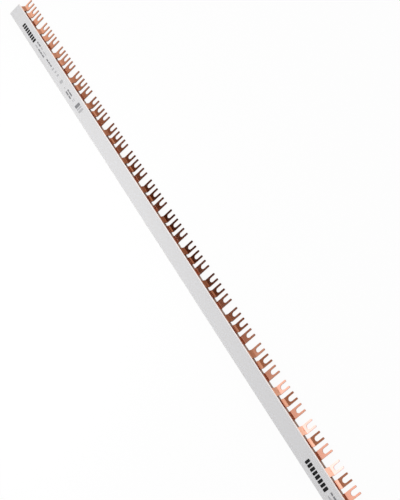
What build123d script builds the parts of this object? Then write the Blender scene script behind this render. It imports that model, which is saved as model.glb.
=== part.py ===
from build123d import *
from math import cos, radians, sin
import os

# Three-phase comb busbar, fork type, 1 m class. Millimetres.
# X runs along the bar, +Y points out of the comb side, the way the forks do,
# and Z runs from the flat back (z = 0) to the wide front face.
# The origin is the middle of the back of the whole bar.

os.makedirs("parts", exist_ok=True)

# Devices that the bar links, and the poles of each one
device_count = 22
device_pitch = 45.0
pole_pitch = 13.5

# Copper: sheet, strip and fork
sheet = 1.0
strip_height = 14.0
strip_inset = 4.0
fork_reach = 14.2
slot_width = 5.2
slot_depth = 8.4
prong_width = 1.9
tip_radius = 0.6
bend_angle = 55.0
bend_radius = 1.0
plate_rise = 3.2

# Insulating profile with three channels side by side
housing_height = 17.0
front_wall = 0.9
rear_wall = 0.8
divider_wall = 0.8
floor_wall = 1.4
divider_drop = 1.2
edge_radius = 0.9
rim_radius = 0.3

# Clearance of a strip in its channel, on each side
channel_clearance = 0.15

# Sizes that follow
bar_length = device_count * device_pitch
overall_width = housing_height + fork_reach
channel_width = sheet + 2 * channel_clearance
strip_pitch = channel_width + divider_wall
housing_depth = rear_wall + 3 * channel_width + 2 * divider_wall + front_wall
fork_width = slot_width + 2 * prong_width
strip_length = bar_length - 2 * strip_inset

# Levels up the comb side, along Y
back_y = -overall_width / 2
rim_y = back_y + housing_height
tip_y = rim_y + fork_reach
channel_floor_y = back_y + floor_wall
divider_top_y = rim_y - divider_drop
strip_top_y = channel_floor_y + strip_height

# The rear strip is straight, so its plane is the plane of every fork
rear_channel_z = rear_wall
fork_z = rear_channel_z + channel_clearance

# The fork of a strip further forward slopes back over the dividers between two bends.
# All the slopes end at one height above the rim, where the flat fork plates start.
plate_start_y = rim_y + plate_rise
bend_depth = 2 * bend_radius * (1 - cos(radians(bend_angle)))
bend_height = 2 * bend_radius * sin(radians(bend_angle))
first_fork_x = -bar_length / 2 + (device_pitch - 2 * pole_pitch) / 2


# Insulating profile: one extrusion, closed at the back edge and open on the comb side
with BuildPart() as housing_profile:
    with BuildSketch(Plane.YZ) as profile_section:
        with Locations((back_y, 0)):
            Rectangle(housing_height, housing_depth, align=(Align.MIN, Align.MIN))
        fillet(profile_section.vertices().group_by(Axis.X)[0], edge_radius)
        for channel in range(3):
            with Locations((channel_floor_y, rear_channel_z + channel * strip_pitch)):
                Rectangle(housing_height, channel_width, align=(Align.MIN, Align.MIN), mode=Mode.SUBTRACT)
        with Locations((divider_top_y, rear_channel_z)):
            Rectangle(divider_drop, 2 * strip_pitch, align=(Align.MIN, Align.MIN), mode=Mode.SUBTRACT)
        fillet(profile_section.vertices().group_by(Axis.X)[-1], rim_radius)
    extrude(amount=bar_length / 2, both=True)
housing_profile.part.label = "housing_profile"
export_step(housing_profile.part, "parts/housing_profile.step")


# Three copper combs, the front channel's first. Each is one stamped strip with a fork
# for every device, and the forks of the front two step back into the plane of the rear one.
for pole, steps in enumerate([2, 1, 0]):
    fork_xs = [first_fork_x + pole * pole_pitch + device * device_pitch for device in range(device_count)]
    strip_z = fork_z + steps * strip_pitch
    bend_start_y = plate_start_y
    if steps:
        slope_length = (steps * strip_pitch - bend_depth) / sin(radians(bend_angle))
        bend_start_y -= bend_height + slope_length * cos(radians(bend_angle))
    with BuildPart() as comb:
        # Strip in its channel, with a tab up to each fork or bend
        with BuildSketch(Plane.XY.offset(strip_z)):
            with Locations((0, channel_floor_y)):
                Rectangle(strip_length, strip_height, align=(Align.CENTER, Align.MIN))
            with Locations([(x, strip_top_y) for x in fork_xs]):
                Rectangle(fork_width, bend_start_y - strip_top_y, align=(Align.CENTER, Align.MIN))
        extrude(amount=sheet)
        # Step back over the dividers: a bend, a slope, and a bend into the forks' plane
        if steps:
            with BuildSketch(*[Plane.YZ.offset(x - fork_width / 2) for x in fork_xs]):
                with BuildLine():
                    bend_back = JernArc(
                        (bend_start_y, strip_z + sheet / 2), (1, 0), bend_radius, -bend_angle
                    )
                    slope = Line(bend_back @ 1, bend_back @ 1 + slope_length * (bend_back % 1))
                    JernArc(slope @ 1, slope % 1, bend_radius, bend_angle)
                    offset(amount=sheet / 2, side=Side.BOTH)
                make_face()
            extrude(amount=fork_width)
        # Fork plates: two prongs with round tips beside an open slot with a round end
        with BuildSketch(Plane.XY.offset(fork_z)) as forks:
            with Locations([(x, plate_start_y) for x in fork_xs]):
                Rectangle(fork_width, tip_y - plate_start_y, align=(Align.CENTER, Align.MIN))
            with Locations([(x, tip_y) for x in fork_xs]):
                Rectangle(
                    slot_width,
                    slot_depth - slot_width / 2,
                    align=(Align.CENTER, Align.MAX),
                    mode=Mode.SUBTRACT,
                )
            with Locations([(x, tip_y - slot_depth + slot_width / 2) for x in fork_xs]):
                Circle(slot_width / 2, mode=Mode.SUBTRACT)
            fillet(forks.vertices().group_by(Axis.Y)[-1], tip_radius)
        extrude(amount=sheet)
    comb.part.label = f"comb_l{pole + 1}"
    export_step(comb.part, f"parts/comb_l{pole + 1}.step")
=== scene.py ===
import bpy
import numpy as np
from mathutils import Matrix


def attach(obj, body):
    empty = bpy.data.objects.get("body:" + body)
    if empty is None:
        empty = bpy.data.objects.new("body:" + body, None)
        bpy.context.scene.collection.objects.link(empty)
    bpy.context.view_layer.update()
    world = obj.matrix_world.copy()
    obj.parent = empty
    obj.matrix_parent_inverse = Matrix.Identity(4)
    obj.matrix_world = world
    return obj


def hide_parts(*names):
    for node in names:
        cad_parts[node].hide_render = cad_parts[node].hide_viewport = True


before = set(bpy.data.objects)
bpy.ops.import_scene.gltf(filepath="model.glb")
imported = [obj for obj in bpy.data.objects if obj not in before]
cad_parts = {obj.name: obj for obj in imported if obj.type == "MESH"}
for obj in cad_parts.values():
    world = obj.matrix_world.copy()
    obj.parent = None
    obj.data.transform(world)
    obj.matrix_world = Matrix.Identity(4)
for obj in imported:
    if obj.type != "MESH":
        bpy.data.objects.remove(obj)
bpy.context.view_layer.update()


# Insulating profile: one length of rigid grey PVC, extruded with three channels and sawn
# off square. It is the CAD node itself, with the finish of an extrusion: fine die lines on a
# cloudy satin skin, painted shade in the channels, browned like light off the copper in them,
# and a painted highlight along the rim, pale and warm.
class Signal:
    """A socket of a node tree. Plain operators on it add Math nodes, so that a mask reads as
    its formula."""

    def __init__(self, graph, socket):
        self.graph = graph
        self.socket = socket

    def maths(self, operation, *values):
        return self.graph.node("ShaderNodeMath", {"operation": operation}, list(values))["Value"]

    def __add__(self, other):
        return self.maths("ADD", self, other)

    def __radd__(self, other):
        return self.maths("ADD", other, self)

    def __sub__(self, other):
        return self.maths("SUBTRACT", self, other)

    def __rsub__(self, other):
        return self.maths("SUBTRACT", other, self)

    def __mul__(self, other):
        return self.maths("MULTIPLY", self, other)

    def __truediv__(self, other):
        return self.maths("DIVIDE", self, other)

    def __pow__(self, other):
        return self.maths("POWER", self, other)

    def __abs__(self):
        return self.maths("ABSOLUTE", self)

    def over(self, start, end):
        """0 below start, 1 above end, and smooth between them."""
        settings = {"interpolation_type": "SMOOTHSTEP"}
        inputs = {"Value": self, "From Min": start, "From Max": end}
        return self.graph.node("ShaderNodeMapRange", settings, inputs)["Result"]


class Graph:
    """The nodes of one material or of the world."""

    def __init__(self, tree):
        self.tree = tree
        self.tree.nodes.clear()

    def node(self, kind, settings, inputs):
        """Adds a node, sets its settings, then its sockets: by name, or in order for a list."""
        made = self.tree.nodes.new(kind)
        for name, value in settings.items():
            if name == "stops":
                ramp = made.color_ramp
                while len(ramp.elements) < len(value):
                    ramp.elements.new(1.0)
                for element, (place, level) in zip(ramp.elements, value):
                    element.position = place
                    element.color = (level, level, level, 1.0)
            else:
                setattr(made, name, value)
        open_sockets = [socket for socket in made.inputs if socket.enabled]
        pairs = zip(open_sockets, inputs)
        if isinstance(inputs, dict):
            pairs = [
                (next(socket for socket in open_sockets if socket.name == name), value)
                for name, value in inputs.items()
            ]
        for socket, value in pairs:
            if isinstance(value, Signal):
                self.tree.links.new(value.socket, socket)
            elif socket.type == "RGBA":
                socket.default_value = (*value, 1.0)
            else:
                socket.default_value = value
        return {socket.name: Signal(self, socket) for socket in made.outputs if socket.enabled}

    def axes(self, coordinates):
        """X, Y and Z of the Object coordinates, in metres, or of the Generated ones."""
        spot = self.node("ShaderNodeTexCoord", {}, {})[coordinates]
        return self.node("ShaderNodeSeparateXYZ", {}, {"Vector": spot})

    def noise(self, scale, detail=2.0):
        """Noise from 0 to 1, with that many blots to the metre along each axis."""
        spot = self.node("ShaderNodeTexCoord", {}, {})["Object"]
        scaled = self.node("ShaderNodeMapping", {}, {"Vector": spot, "Scale": scale})["Vector"]
        inputs = {"Vector": scaled, "Scale": 1.0, "Detail": detail}
        return self.node("ShaderNodeTexNoise", {}, inputs)["Fac"]

    def blend(self, factor, first, second):
        inputs = {"Factor": factor, "A": first, "B": second}
        return self.node("ShaderNodeMix", {"data_type": "RGBA"}, inputs)["Result"]

    def skin(self, inputs):
        """Ends a material with a Principled shader."""
        shader = self.node("ShaderNodeBsdfPrincipled", {}, inputs)["BSDF"]
        self.node("ShaderNodeOutputMaterial", {}, {"Surface": shader})


def finish(name):
    """A new material and its empty graph."""
    material = bpy.data.materials.new(name)
    material.use_nodes = True
    return material, Graph(material.node_tree)


dark_grey = (0.652, 0.652, 0.657)
light_grey = (0.660, 0.660, 0.665)
# Painted shade inside the channels, browned like light off the copper
channel_painted_shade = (0.58, 0.43, 0.35)
# Painted highlight along the top of the front wall, warm like light off the copper
rim_painted_highlight = (0.96, 0.88, 0.84)

# Where the masks of the painted channel shade and of the painted rim highlight fade in, in
# metres
channel_back = (0.0004, 0.0007)
channel_front = (0.0063, 0.0064)
channel_floor = (-0.0143, -0.0142)
sawn_end = (0.4948, 0.4949)
rim_height = (0.0004, 0.0009)
rim_wall = (0.0064, 0.0066)


def extruded_pvc():
    material, graph = finish("extruded_pvc")
    die_lines = graph.noise((3, 2600, 2600), 3.0)
    clouds = graph.noise((14, 60, 60))
    axes = graph.axes("Object")
    # Painted shade: the inside of the channels is darkened and browned, short of the sawn ends
    channel_shade_mask = axes["Z"].over(*channel_back) * (1 - axes["Z"].over(*channel_front))
    channel_shade_mask = channel_shade_mask * axes["Y"].over(*channel_floor) * (1 - abs(axes["X"]).over(*sawn_end))
    # Painted highlight: the top of the front wall is paler and warmer
    rim = axes["Y"].over(*rim_height) * axes["Z"].over(*rim_wall)
    mottle = (die_lines * 0.5 + clouds * 0.5).over(0.35, 0.65)
    colour = graph.blend(mottle, dark_grey, light_grey)
    colour = graph.blend(channel_shade_mask, colour, channel_painted_shade)
    colour = graph.blend(rim, colour, rim_painted_highlight)
    rough = 0.34 + clouds * 0.08 + die_lines * 0.06
    bump_inputs = {"Strength": 0.04, "Distance": 0.00004, "Height": die_lines}
    bump = graph.node("ShaderNodeBump", {}, bump_inputs)["Normal"]
    graph.skin({"Base Color": colour, "Roughness": rough, "Normal": bump, "IOR": 1.5})
    return material


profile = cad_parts["housing_profile"]
profile.data.materials.clear()
profile.data.materials.append(extruded_pvc())


# Copper combs: one strip of 1 mm copper for each phase, stamped with a fork for every
# device. The strip of the rear channel is flat; the forks of the other two slope back over
# one divider or two between bends of one radius, so that every fork lies in one plane.
sheet = 1.0
strip_half_length = 491.0
strip_bottom = -14.2
strip_top = -0.2
plate_start = 4.6
tip = 15.6
fork_half_width = 4.5
slot_half_width = 2.6
slot_bottom = 7.2
tip_radius = 0.6
strip_pitch = 2.1
bend_radius = 1.0
bend_angle = np.radians(55.0)
fork_level = 1.45
first_fork = -486.0
pole_pitch = 13.5
device_pitch = 45.0
device_count = 22
edge_width = 0.11

# Stations of the mesh: round a quarter circle, round a bend, and the margin beside a bend
arc_stations = 8
bend_stations = 9
bend_margin = 0.2


def fork_outline():
    """Stations up one side of a fork: y, and x of the slot's side and of the outer side.

    Below the slot the inner x is 0. Round the slot's end y = bottom + r (1 - cos a) and
    x = r sin a. At the tip both sides close in by quarter circles of the tip radius.
    """
    around = np.linspace(0, np.pi / 2, arc_stations)
    slot_y = slot_bottom + slot_half_width * (1 - np.cos(around))
    tip_y = tip - tip_radius + tip_radius * np.sin(around)
    closing = tip_radius * (1 - np.cos(around))
    y = np.concatenate([slot_y, tip_y])
    inner = np.concatenate([slot_half_width * np.sin(around), slot_half_width + closing])
    outer = np.concatenate([np.full(arc_stations, fork_half_width), fork_half_width - closing])
    return y, inner, outer


def bend_sizes(steps):
    """Angle of a fork's two bends, length of the slope between them, and height of their start.

    Bends of radius r and angle t and a slope of length s drop by 2 r (1 - cos t) + s sin t,
    which is steps x pitch, over a height of 2 r sin t + s cos t that ends where the plate
    starts.
    """
    turn = bend_angle if steps else 0.0
    slope = (steps * strip_pitch - 2 * bend_radius * (1 - np.cos(turn))) / np.sin(bend_angle)
    return turn, slope, plate_start - 2 * bend_radius * np.sin(turn) - slope * np.cos(turn)


def sheet_middle(y, steps):
    """Carries a flat height y on to the sheet's bent middle surface and returns its y and z.

    After the angles a of the first bend and b of the second and the length w of the slope,
    y = start + r sin a + w cos t + r (sin t - sin (t - b)), and z has dropped by
    r (1 - cos a) + w sin t + r (cos (t - b) - cos t).
    """
    turn, slope, start = bend_sizes(steps)
    along = y - start
    first = np.clip(along / bend_radius, 0, turn)
    sloping = np.clip(along - bend_radius * turn, 0, slope)
    second = np.clip((along - slope) / bend_radius - turn, 0, turn)
    beyond = np.clip(along - slope - 2 * bend_radius * turn, 0, None)
    turned_y = np.sin(first) + np.sin(turn) - np.sin(turn - second)
    turned_z = 1 - np.cos(first) + np.cos(turn - second) - np.cos(turn)
    rise = bend_radius * turned_y + sloping * np.cos(turn)
    drop = bend_radius * turned_z + sloping * np.sin(turn)
    return np.minimum(y, start) + rise + beyond, fork_level + steps * strip_pitch - drop


def comb_grids(pole, steps):
    """The middle surface of a comb as grids: each fork's two halves, and the strip.

    Above the bends a fork's outline moves up by what bending takes from its height, which is
    2 r (t - sin t) + s (1 - cos t).
    """
    turn, slope, start = bend_sizes(steps)
    taken = 2 * bend_radius * (turn - np.sin(turn)) + slope * (1 - np.cos(turn))
    centres = first_fork + pole * pole_pitch + device_pitch * np.arange(device_count)
    outline_y, inner, outer = fork_outline()
    bend = start + bend_radius * turn * np.linspace(0, 1, bend_stations)
    bend = np.concatenate([[start - bend_margin], bend, [bend[-1] + bend_margin]])
    below = np.unique(np.concatenate([[strip_top], bend, bend + bend_radius * turn + slope]))
    inner = np.concatenate([np.zeros(len(below)), inner])
    outer = np.concatenate([np.full(len(below), fork_half_width), outer])
    half = inner[:, None] + (outer - inner)[:, None] * np.linspace(0, 1, 3)
    y, z = sheet_middle(np.concatenate([below, outline_y + taken]), steps)
    grids = []
    for side in (1, -1):
        x = centres[:, None, None] + side * half
        grid = np.stack(np.broadcast_arrays(x, y[:, None], z[:, None]), axis=-1)
        grids.extend(grid if side == 1 else grid[:, :, ::-1])
    under_forks = centres[:, None] + fork_half_width * np.linspace(-1, 1, 5)
    strip_ends = [-strip_half_length, strip_half_length]
    strip_x = np.sort(np.concatenate([strip_ends, under_forks.ravel()]))
    flat_x, flat_y = np.meshgrid(strip_x, [strip_bottom, strip_top])
    strip_z = np.full(flat_x.shape, fork_level + steps * strip_pitch)
    grids.append(np.stack([flat_x, flat_y, strip_z], axis=-1))
    return grids


def grid_faces(index):
    """The faces between neighbours in a grid of point numbers."""
    corners = [index[:-1, :-1], index[:-1, 1:], index[1:, 1:], index[1:, :-1]]
    return np.stack(corners, axis=-1).reshape(-1, 4)


def new_piece(name, points, faces):
    """An object from points in millimetres."""
    mesh = bpy.data.meshes.new(name)
    mesh.from_pydata((points * 0.001).tolist(), [], faces)
    piece = bpy.data.objects.new(name, mesh)
    bpy.context.scene.collection.objects.link(piece)
    return piece


def copper_sheet(name, grids):
    """Grids joined at their shared points, thickened to the sheet, with eased edges."""
    points = np.concatenate([grid.reshape(-1, 3) for grid in grids])
    faces = []
    first = 0
    for grid in grids:
        rows, columns = grid.shape[:2]
        faces.append(grid_faces(first + np.arange(rows * columns).reshape(rows, columns)))
        first += rows * columns
    spots, merged = np.unique(np.round(points, 4), axis=0, return_inverse=True)
    piece = new_piece(name, spots, merged.ravel()[np.concatenate(faces)].tolist())
    piece.data.validate()
    piece.data.shade_smooth()
    wall = piece.modifiers.new("thickness", "SOLIDIFY")
    wall.thickness = sheet * 0.001
    wall.offset = 0.0
    wall.use_even_offset = True
    wall.material_offset_rim = 1
    edge = piece.modifiers.new("stamped_edge", "BEVEL")
    edge.width = edge_width * 0.001
    edge.segments = 2
    edge.limit_method = "ANGLE"
    edge.angle_limit = np.radians(50)
    edge.harden_normals = True
    return piece


def rolled_copper(name, redness, lean, dullness):
    """Bare rolled copper: grain along the bar, faint handling stains, and the few degrees
    that a comb's forks spring out of plane, drawn as a lean of the normal in Y. Redness
    blends towards a redder sheet, and dullness is the least roughness."""
    material, graph = finish(name)
    grain = graph.noise((40, 900, 900))
    stains = graph.noise((90, 120, 120))
    stained = stains.over(0.45, 0.8) * 0.3
    colour = graph.blend(stained, (0.95, 0.475, 0.315), (0.86, 0.40, 0.25))
    colour = graph.blend(redness, colour, (0.80, 0.33, 0.19))
    rough = dullness + grain * 0.03 + stains * 0.04
    facing = graph.node("ShaderNodeNewGeometry", {}, {})["Normal"]
    tilt = [facing, (0.0, lean, 0.0)]
    leaning = graph.node("ShaderNodeVectorMath", {"operation": "ADD"}, tilt)["Vector"]
    leaning = graph.node("ShaderNodeVectorMath", {"operation": "NORMALIZE"}, [leaning])["Vector"]
    bump_inputs = {"Strength": 0.06, "Distance": 0.00003, "Height": grain, "Normal": leaning}
    bump = graph.node("ShaderNodeBump", {}, bump_inputs)["Normal"]
    graph.skin({"Base Color": colour, "Metallic": 1.0, "Roughness": rough, "Normal": bump})
    return material


def stamped_edge():
    """The dull cut edge round a stamping: a burnished band and a darker, rougher break."""
    material, graph = finish("stamped_edge")
    breaks = graph.noise((1500, 1500, 300))
    colour = graph.blend(breaks.over(0.35, 0.65), (0.46, 0.19, 0.11), (0.29, 0.12, 0.07))
    graph.skin({"Base Color": colour, "Metallic": 1.0, "Roughness": 0.42 + breaks * 0.2})
    return material


# Of each comb: dividers that its forks cross, redness, lean of the forks, and dullness
combs = [(2, 0.0, 0.03, 0.085), (1, 0.0, -0.045, 0.085), (0, 0.45, 0.0, 0.14)]

edge_material = stamped_edge()
for pole, (steps, redness, lean, dullness) in enumerate(combs):
    comb = copper_sheet(f"copper_comb_l{pole + 1}", comb_grids(pole, steps))
    copper = rolled_copper(f"rolled_copper_l{pole + 1}", redness, lean, dullness)
    comb.data.materials.append(copper)
    comb.data.materials.append(edge_material)
    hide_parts(f"comb_l{pole + 1}")
    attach(comb, "root")


# Print on the front face: plain fields and bars of ink, in two runs along the bar. They
# stand where such a profile is printed, and say nothing. A bold field gives its start and
# end in x from the start of its run, and a bar also its lower and upper y.
face_level = 7.2
foot_sink = 0.01
film_rise = 0.02
edge_draw = 0.03
ring_points = 32
print_starts = [-465.5, 168.5]
bold_low = -10.7
bold_high = -5.4
bold_fields = [
    (0.0, 3.1), (4.1, 7.4), (8.4, 11.6), (12.6, 15.6),
    (16.6, 20.2), (21.2, 24.4), (25.4, 28.6), (29.6, 33.0),
]
fine_bars = [
    (36.5, 39.8, -6.5, -4.7), (40.6, 45.5, -6.5, -4.7), (46.0, 50.4, -10.3, -8.5),
    (51.2, 56.0, -10.3, -8.5), (56.8, 61.5, -10.3, -8.5), (66.5, 71.0, -8.6, -6.9),
    (71.8, 76.0, -8.6, -6.9), (76.8, 80.5, -8.6, -6.9), (123.0, 126.5, -7.4, -5.6),
    (127.3, 134.5, -7.4, -5.6), (123.0, 129.8, -10.4, -8.6), (130.6, 136.0, -10.4, -8.6),
    (148.0, 152.6, -10.6, -3.5),
]
pale_bars = [
    (46.8, 51.5, -6.4, -4.9), (54.5, 62.5, -6.6, -5.4), (37.5, 44.0, -10.2, -8.7),
    (83.5, 86.0, -9.6, -6.2), (89.5, 92.0, -8.6, -5.6), (95.5, 98.2, -8.6, -5.6),
    (105.5, 110.0, -10.0, -5.6), (117.0, 119.0, -9.0, -7.6), (138.5, 142.5, -7.2, -6.3),
    (138.5, 142.5, -9.2, -8.3), (153.6, 156.2, -10.6, -3.5), (157.4, 160.6, -10.6, -3.5),
]


def ink_fields(name, run, corner):
    """Flat films with round corners: a superellipse ring x = a |cos|^k, y = b |sin|^k,
    at the foot and, drawn in a little, at the top, closed by a cap on each."""
    boxes = [(s + a, s + b, low, high) for s in print_starts for a, b, low, high in run]
    boxes = np.array(boxes)
    turn = np.linspace(0, 2 * np.pi, ring_points, endpoint=False) + np.pi / ring_points
    circle = np.stack([np.cos(turn), np.sin(turn)], axis=-1)
    ring = np.sign(circle) * np.abs(circle) ** corner
    middle = np.stack([boxes[:, :2].mean(1), boxes[:, 2:].mean(1)], axis=-1)
    half = np.stack([boxes[:, 1] - boxes[:, 0], boxes[:, 3] - boxes[:, 2]], axis=-1) / 2
    foot = middle[:, None] + ring * half[:, None]
    top = middle[:, None] + ring * (half[:, None] - edge_draw)
    levels = np.array([face_level - foot_sink, face_level + film_rise])
    flat = np.stack([foot, top], axis=1)
    height = np.broadcast_to(levels[None, :, None, None], (*flat.shape[:3], 1))
    points = np.concatenate([flat, height], axis=-1).reshape(-1, 3)
    faces = []
    for box in range(len(boxes)):
        low = box * 2 * ring_points + np.arange(ring_points)
        high = low + ring_points
        faces += np.stack([low, np.roll(low, -1), np.roll(high, -1), high], axis=-1).tolist()
        faces += [high.tolist(), low[::-1].tolist()]
    return new_piece(name, points, faces)


def printed_ink(name, thin, full):
    """Pad-printed ink, a little thinner where the profile's die lines lift it."""
    material, graph = finish(name)
    cover = graph.noise((300, 1800, 1800))
    colour = graph.blend(cover.over(0.3, 0.7), thin, full)
    rough = 0.5 + cover * 0.15
    graph.skin({"Base Color": colour, "Roughness": rough, "Specular IOR Level": 0.2})
    return material


bold_bars = [(start, end, bold_low, bold_high) for start, end in bold_fields]
inks = [
    ("print_bold_fields", bold_bars, 0.3, (0.010, 0.010, 0.011), (0.004, 0.004, 0.004)),
    ("print_fine_bars", fine_bars, 0.25, (0.26, 0.26, 0.27), (0.20, 0.20, 0.21)),
    ("print_pale_bars", pale_bars, 0.25, (0.47, 0.47, 0.48), (0.41, 0.41, 0.42)),
]
for name, run, corner, thin, full in inks:
    film = ink_fields(name, run, corner)
    film.data.materials.append(printed_ink(f"{name}_ink", thin, full))
    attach(film, "root")


# Floor: white paper, which keeps the bar's faint shadow. To glossy rays it glows instead, with a
# painted reflection: a light level painted along the bar, which the copper mirrors as bright in
# front of the near end, dim along the middle, and a little brighter again at the far end.
# Light that dims turns redder, so green and blue are higher powers of its level.
floor_reach = 12.0
floor_lines = 41
paper = (0.86, 0.86, 0.86)
white_share = 0.92
dim_level = 0.21
near_gain = 0.88
near_stretch = (-0.02, 0.16)
far_gain = 0.26
far_stretch = (-0.45, -0.20)
green_power = 1.33
blue_power = 1.6


def white_floor():
    material, graph = finish("white_floor")
    path = graph.node("ShaderNodeLightPath", {}, {})
    shaded = graph.node("ShaderNodeBsdfDiffuse", {}, {"Color": paper})["BSDF"]
    glow = {"Color": (1.0, 1.0, 1.0), "Strength": 1.0}
    white = graph.node("ShaderNodeEmission", {}, glow)["Emission"]
    seen = (path["Is Camera Ray"] + path["Is Transmission Ray"]).over(0.0, 1.0) * white_share
    shader = graph.node("ShaderNodeMixShader", {}, [seen, shaded, white])["Shader"]
    # Painted reflection: the glow that glossy rays see, painted by its level along X
    along = graph.axes("Object")["X"]
    level = dim_level + along.over(*near_stretch) * near_gain
    level = level + (1 - along.over(*far_stretch)) * far_gain
    tint = {"Red": level, "Green": level ** green_power * 1.1, "Blue": level ** blue_power * 1.2}
    tint = graph.node("ShaderNodeCombineColor", {}, tint)["Color"]
    painted_reflection_glow = graph.node("ShaderNodeEmission", {}, {"Color": tint, "Strength": 1.0})["Emission"]
    shaders = [path["Is Glossy Ray"], shader, painted_reflection_glow]
    shader = graph.node("ShaderNodeMixShader", {}, shaders)["Shader"]
    graph.node("ShaderNodeOutputMaterial", {}, {"Surface": shader})
    return material


spread = np.linspace(-1, 1, floor_lines)
reach = floor_reach * np.sign(spread) * spread ** 2
level_zero = np.zeros((floor_lines, floor_lines))
floor_points = np.stack([*np.meshgrid(reach, reach), level_zero], axis=-1).reshape(-1, 3)
floor_faces = grid_faces(np.arange(floor_lines ** 2).reshape(floor_lines, floor_lines))
floor_mesh = bpy.data.meshes.new("floor")
floor_mesh.from_pydata(floor_points.tolist(), [], floor_faces.tolist())
floor_mesh.materials.append(white_floor())
floor = bpy.data.objects.new("floor", floor_mesh)
bpy.context.scene.collection.objects.link(floor)


# Room: white to the camera. Its lights leave one dark gap, which runs round the room square
# to the bar, so the copper mirrors it along the middle of the bar. Over the near end the
# light ends in a soft edge, and down at the horizon the gap has levels of its own.
gap_levels = [
    (0.00, 1.00), (0.15, 0.95), (0.27, 0.88), (0.315, 0.76), (0.36, 0.50), (0.40, 0.19),
    (0.44, 0.06), (0.50, 0.035), (0.54, 0.04), (0.57, 0.09), (0.60, 0.18), (0.65, 0.38),
    (0.67, 0.53), (0.69, 0.73), (0.71, 0.94), (0.75, 1.15),
]
edge_levels = [
    (0.0, 0.50), (0.15, 0.70), (0.25, 1.12), (0.33, 0.48),
    (0.42, 0.16), (0.55, 0.15), (0.80, 0.30), (1.0, 0.5),
]
skyline_levels = [
    (0.0, 0.7), (0.26, 0.7), (0.36, 0.35), (0.45, 0.17), (0.55, 0.2), (0.70, 0.42), (1.0, 0.5),
]
edge_gain = 2.0
skyline_gain = 1.9
least_height = 0.05
near_start = (0.05, 0.20)
near_end = (0.30, 0.42)
above_horizon = (-2.2, -0.8)
blue_gain = 0.2
bright_levels = (1.1, 1.6)

world = bpy.data.worlds.new("studio")
world.use_nodes = True
bpy.context.scene.world = world
room = Graph(world.node_tree)
axes = room.axes("Generated")
along = axes["X"] * -1
across = axes["Y"] * -1 / axes["Z"].maths("MAXIMUM", axes["Z"], least_height)
gap = room.node("ShaderNodeValToRGB", {"stops": gap_levels}, {"Fac": along})["Color"]
edge = room.node("ShaderNodeValToRGB", {"stops": edge_levels}, {"Fac": across})["Color"]
skyline = room.node("ShaderNodeValToRGB", {"stops": skyline_levels}, {"Fac": along})["Color"]
near = (1 - along.over(*near_end)) * along.over(*near_start)
horizon = 1 - across.over(*above_horizon)
shade = gap + horizon * (skyline * skyline_gain - gap)
glow = shade * (1 + near * (edge * edge_gain - 1))
blue = glow ** blue_power * (1 + near * blue_gain * glow.over(*bright_levels))
warm = {"Red": glow, "Green": glow ** green_power, "Blue": blue}
light = room.node("ShaderNodeCombineColor", {}, warm)["Color"]
seen = room.node("ShaderNodeLightPath", {}, {})["Is Camera Ray"]
light = room.blend(seen, light, (1.0, 1.0, 1.0))
sky = {"Color": light, "Strength": 1.0}
background = room.node("ShaderNodeBackground", {}, sky)["Background"]
room.node("ShaderNodeOutputWorld", {}, {"Surface": background})


# Lamp: one soft panel behind the bar's closed edge and over its far half, turned down
# towards it, so that the front face darkens a little towards the near end.
lamp_data = bpy.data.lights.new("soft_lamp", "AREA")
lamp_data.shape = "RECTANGLE"
lamp_data.size = 0.4
lamp_data.size_y = 0.15
lamp_data.energy = 0.77
lamp = bpy.data.objects.new("soft_lamp", lamp_data)
lamp.location = (-0.25, -0.30, 0.24)
lamp.rotation_euler = (np.radians(51), 0.0, 0.0)
bpy.context.scene.collection.objects.link(lamp)


# Camera: a plain pinhole at the photograph's place, fitted to the edges of the forks and
# of the profile. The frame is 500 pixels high, and the shifts are half a pixel of it.
right = (0.488109, 0.713967, -0.501997)
up = (-0.729472, 0.649514, 0.214483)
back = (0.479188, 0.261502, 0.837852)
place = (0.410777, 0.279263, 0.841869)
focal_pixels = 987.605
frame_pixels = 500
sensor = 36.0
camera_data = bpy.data.cameras.new("camera")
camera_data.sensor_width = sensor
camera_data.lens = focal_pixels / frame_pixels * sensor
camera_data.shift_x = -0.001
camera_data.shift_y = 0.001
camera = bpy.data.objects.new("camera", camera_data)
camera.matrix_world = Matrix([(*row, 0.0) for row in zip(right, up, back)] + [(0, 0, 0, 1)])
camera.location = place
bpy.context.scene.collection.objects.link(camera)
bpy.context.scene.camera = camera
bpy.context.scene.view_settings.view_transform = "Standard"
